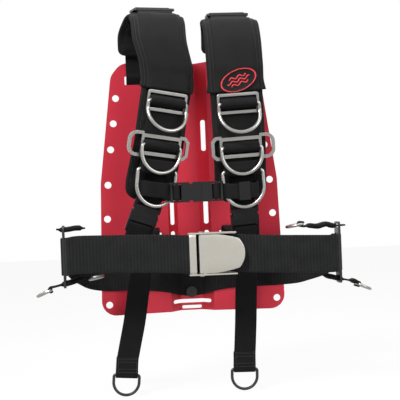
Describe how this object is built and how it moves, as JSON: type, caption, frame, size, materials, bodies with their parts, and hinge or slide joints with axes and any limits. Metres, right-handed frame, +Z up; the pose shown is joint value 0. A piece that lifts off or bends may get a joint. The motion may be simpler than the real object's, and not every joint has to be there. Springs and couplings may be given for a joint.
{
  "type": "diving backplate and harness",
  "caption": "Red anodised aluminium backplate with a padded black webbing harness, stainless slides, D-rings and a cam buckle at the waist.",
  "frame": {"origin": "centre of the tank bolt hole pair, on the tank side of the channel floor", "axes": "+Y through the bolt holes towards the tank, +Z up the plate, +X to the wearer's left as seen from the wearer's side"},
  "size_m": [0.4528, 0.1573, 0.5259],
  "materials": {
    "red_anodised": "satin anodised",
    "stainless": "satin",
    "black_webbing": "woven",
    "belt_webbing": "ribbed weave",
    "pad_fabric": "padded cloth",
    "black_plastic": "moulded",
    "black_coated": "satin coated",
    "badge": "stitched patch"
  },
  "bodies": {
    "harness": {"backplate": "red_anodised", "top_screw_head": "black_coated", "top_screw_post": "stainless", "bottom_screw_head": "black_coated", "bottom_screw_post": "stainless", "L_shoulder_webbing": "black_webbing", "R_shoulder_webbing": "black_webbing", "L_shoulder_pad": "pad_fabric", "R_shoulder_pad": "pad_fabric", "L_pad_sleeve": "pad_fabric", "R_pad_sleeve": "pad_fabric", "badge_patch": "badge", "L_top_slide": "black_coated", "R_top_slide": "black_coated", "L_upper_slide": "stainless", "R_upper_slide": "stainless", "L_wing_slide": "stainless", "R_wing_slide": "stainless", "L_end_dring": "stainless", "R_end_dring": "stainless", "L_link_webbing": "black_webbing", "R_link_webbing": "black_webbing", "L_lower_buckle_female": "black_plastic", "R_lower_buckle_female": "black_plastic", "L_lower_buckle_male": "black_plastic", "R_lower_buckle_male": "black_plastic", "L_adjuster_webbing": "black_webbing", "R_adjuster_webbing": "black_webbing", "L_chest_webbing": "black_webbing", "R_chest_webbing": "black_webbing", "chest_keeper": "black_plastic", "chest_buckle_female": "black_plastic", "chest_buckle_male": "black_plastic", "waist_webbing": "belt_webbing", "waist_buckle_frame": "stainless", "waist_buckle_pin": "stainless", "L_hip_slide": "stainless", "R_hip_slide": "stainless", "L_hip_upper_tab": "black_webbing", "R_hip_upper_tab": "black_webbing", "L_hip_lower_tab": "black_webbing", "R_hip_lower_tab": "black_webbing"},
    "waist_lever": {"waist_buckle_lever": "stainless"},
    "L_upper_ring": {"L_upper_dring": "stainless"},
    "L_wing_ring": {"L_wing_dring": "stainless"},
    "L_pull": {"L_pull_ring": "black_coated"},
    "L_hip_outer_ring": {"L_hip_outer_dring": "stainless"},
    "L_hip_inner_ring": {"L_hip_inner_dring": "stainless"},
    "R_upper_ring": {"R_upper_dring": "stainless"},
    "R_wing_ring": {"R_wing_dring": "stainless"},
    "R_pull": {"R_pull_ring": "black_coated"},
    "R_hip_outer_ring": {"R_hip_outer_dring": "stainless"},
    "R_hip_inner_ring": {"R_hip_inner_dring": "stainless"}
  },
  "joints": [
    {"name": "waist_lever_hinge", "type": "hinge", "parent": "harness", "child": "waist_lever", "pos_m": [0.0048, -0.135, -0.11], "axis": [0, 0, -1], "range_deg": [0, 100]},
    {"name": "L_upper_dring_hinge", "type": "hinge", "parent": "harness", "child": "L_upper_ring", "pos_m": [-0.03163, -0.13806, 0.08957], "axis": [-0.9305, -0.3387, 0.1392], "range_deg": [0, 90]},
    {"name": "L_wing_dring_hinge", "type": "hinge", "parent": "harness", "child": "L_wing_ring", "pos_m": [-0.04177, -0.13359, 0.03264], "axis": [-0.9305, -0.3387, 0.1392], "range_deg": [0, 90]},
    {"name": "L_pull_ring_hinge", "type": "hinge", "parent": "harness", "child": "L_pull", "pos_m": [-0.0975, -0.062, -0.274], "axis": [-0.9938, -0.0695, 0.0872], "range_deg": [-60, 60]},
    {"name": "L_hip_outer_dring_hinge", "type": "hinge", "parent": "harness", "child": "L_hip_outer_ring", "pos_m": [-0.19405, -0.093, -0.151], "axis": [0, -1, 0], "range_deg": [-30, 50]},
    {"name": "L_hip_inner_dring_hinge", "type": "hinge", "parent": "harness", "child": "L_hip_inner_ring", "pos_m": [-0.14205, -0.093, -0.139], "axis": [0, 1, 0], "range_deg": [-30, 30]},
    {"name": "R_upper_dring_hinge", "type": "hinge", "parent": "harness", "child": "R_upper_ring", "pos_m": [0.06105, -0.1385, 0.08536], "axis": [-0.9963, -0.0697, -0.0506], "range_deg": [0, 90]},
    {"name": "R_wing_dring_hinge", "type": "hinge", "parent": "harness", "child": "R_wing_ring", "pos_m": [0.06342, -0.13065, 0.02795], "axis": [-0.9963, -0.0697, -0.0506], "range_deg": [0, 90]},
    {"name": "R_pull_ring_hinge", "type": "hinge", "parent": "harness", "child": "R_pull", "pos_m": [0.0646, -0.062, -0.274], "axis": [-0.9995, -0.0174, 0.0262], "range_deg": [-60, 60]},
    {"name": "R_hip_outer_dring_hinge", "type": "hinge", "parent": "harness", "child": "R_hip_outer_ring", "pos_m": [0.21905, -0.093, -0.161], "axis": [0, 1, 0], "range_deg": [-30, 50]},
    {"name": "R_hip_inner_dring_hinge", "type": "hinge", "parent": "harness", "child": "R_hip_inner_ring", "pos_m": [0.14505, -0.093, -0.077], "axis": [0, -1, 0], "range_deg": [-30, 30]}
  ]
}
